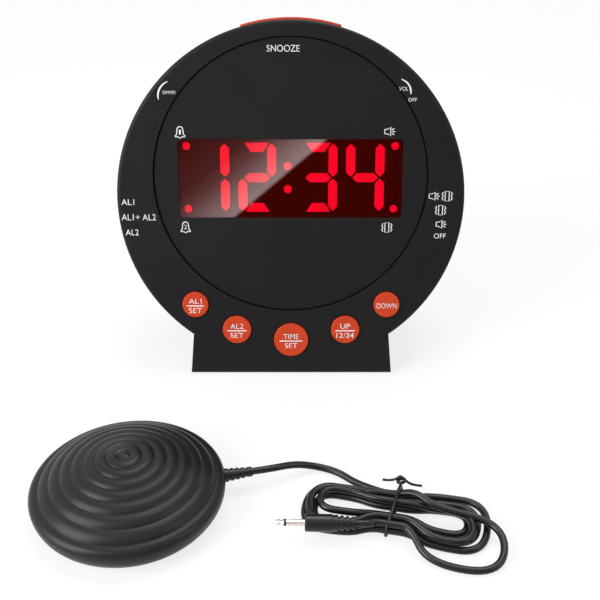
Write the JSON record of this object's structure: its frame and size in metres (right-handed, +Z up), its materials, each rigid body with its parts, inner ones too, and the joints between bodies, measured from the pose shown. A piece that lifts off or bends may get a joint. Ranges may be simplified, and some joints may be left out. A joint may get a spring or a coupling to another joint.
{
  "type": "bed shaker alarm clock",
  "caption": "Round desk alarm clock on a flat foot with a red digit display, orange snooze bar and round buttons, and a domed bed shaker on a tied cord.",
  "frame": {"origin": "middle of the clock's rubber foot pad, on the table", "axes": "+Z up, -Y toward the user, +X to the user's right"},
  "size_m": [0.1784, 0.2096, 0.1498],
  "materials": {
    "case_black": "fine matte moulded texture",
    "lens_red": "polished dark red filter",
    "reflector_grey": "matte",
    "segment_red": "lit red",
    "control_orange": "satin orange",
    "control_black": "satin black",
    "board_green": "solder mask",
    "inner_black": "matte",
    "screw_steel": "bright zinc",
    "cone_paper": "black pressed paper",
    "battery_wrap": "plain wrap",
    "pad_rubber": "matte",
    "shaker_black": "satin",
    "weight_brass": "machined",
    "cord_black": "satin",
    "tie_black": "satin",
    "plug_metal": "polished nickel"
  },
  "bodies": {
    "clock": {"front_housing": "case_black", "rear_housing": "case_black", "face_panel": "case_black", "display_lens": "lens_red", "display_reflector": "reflector_grey", "unlit_segments": "reflector_grey", "lit_segments": "segment_red", "main_board": "board_green", "button_board": "board_green", "tact_switches": "inner_black", "snooze_switch": "inner_black", "dimmer_pot": "inner_black", "volume_pot": "inner_black", "alarm_switch": "inner_black", "mode_switch": "inner_black", "power_jack": "inner_black", "shaker_jack": "inner_black", "battery_snap": "inner_black", "housing_screws": "screw_steel", "board_screws": "screw_steel", "speaker_frame": "screw_steel", "speaker_magnet": "screw_steel", "speaker_cone": "cone_paper", "backup_battery": "battery_wrap", "foot_pad": "pad_rubber"},
    "battery_door": {"battery_door": "case_black"},
    "snooze_bar": {"snooze_bar": "control_orange"},
    "alarm1_button": {"alarm1_button": "control_orange"},
    "alarm2_button": {"alarm2_button": "control_orange"},
    "time_button": {"time_button": "control_orange"},
    "up_button": {"up_button": "control_orange"},
    "down_button": {"down_button": "control_orange"},
    "dimmer_wheel": {"dimmer_wheel": "control_black"},
    "volume_wheel": {"volume_wheel": "control_black"},
    "alarm_slider": {"alarm_slider": "control_black"},
    "mode_slider": {"mode_slider": "control_black"},
    "shaker": {"shaker_top_shell": "shaker_black", "shaker_base_shell": "shaker_black", "shaker_motor": "screw_steel", "motor_clamp": "screw_steel", "shaker_screws": "screw_steel", "cable_gland": "cord_black", "cord_lead": "cord_black", "cord_hank": "cord_black", "twist_tie": "tie_black", "plug_body": "cord_black", "plug_sleeve": "plug_metal", "plug_insulator": "cord_black", "plug_tip": "plug_metal"},
    "rotor": {"motor_shaft": "screw_steel", "eccentric_weight": "weight_brass"}
  },
  "joints": [
    {"name": "alarm1_press", "type": "slide", "parent": "clock", "child": "alarm1_button", "axis": [0, 0.9659, -0.2588], "range_m": [0, 0.0008], "stiffness_N_per_m": 300, "springref_m": -0.001},
    {"name": "alarm2_press", "type": "slide", "parent": "clock", "child": "alarm2_button", "axis": [0, 0.9659, -0.2588], "range_m": [0, 0.0008], "stiffness_N_per_m": 300, "springref_m": -0.001},
    {"name": "time_press", "type": "slide", "parent": "clock", "child": "time_button", "axis": [0, 0.9659, -0.2588], "range_m": [0, 0.0008], "stiffness_N_per_m": 300, "springref_m": -0.001},
    {"name": "up_press", "type": "slide", "parent": "clock", "child": "up_button", "axis": [0, 0.9659, -0.2588], "range_m": [0, 0.0008], "stiffness_N_per_m": 300, "springref_m": -0.001},
    {"name": "down_press", "type": "slide", "parent": "clock", "child": "down_button", "axis": [0, 0.9659, -0.2588], "range_m": [0, 0.0008], "stiffness_N_per_m": 300, "springref_m": -0.001},
    {"name": "snooze_press", "type": "slide", "parent": "clock", "child": "snooze_bar", "axis": [0, -0.2588, -0.9659], "range_m": [0, 0.0015], "stiffness_N_per_m": 800, "springref_m": -0.001},
    {"name": "dimmer_turn", "type": "hinge", "parent": "clock", "child": "dimmer_wheel", "pos_m": [-0.04897, 0.02675, 0.11072], "axis": [0, -0.9659, 0.2588], "range_deg": [-135, 135]},
    {"name": "volume_turn", "type": "hinge", "parent": "clock", "child": "volume_wheel", "pos_m": [0.04897, 0.02675, 0.11072], "axis": [0, -0.9659, 0.2588], "range_deg": [-135, 135]},
    {"name": "alarm_slide", "type": "slide", "parent": "clock", "child": "alarm_slider", "axis": [0.0941, -0.2577, -0.9616], "range_m": [-0.0066, 0.0066]},
    {"name": "mode_slide", "type": "slide", "parent": "clock", "child": "mode_slider", "axis": [0.0906, 0.2578, 0.962], "range_m": [-0.0174, 0]},
    {"name": "battery_door_pull", "type": "slide", "parent": "clock", "child": "battery_door", "axis": [0, 0.9659, -0.2588], "range_m": [0, 0.024]},
    {"name": "shaker_lift", "type": "slide", "parent": "clock", "child": "shaker", "axis": [0, 0, 1], "range_m": [0, 0.12]},
    {"name": "rotor_spin", "type": "hinge", "parent": "shaker", "child": "rotor", "pos_m": [-0.0685, -0.111, 0.0097], "axis": [1, 0, 0], "continuous": true}
  ]
}
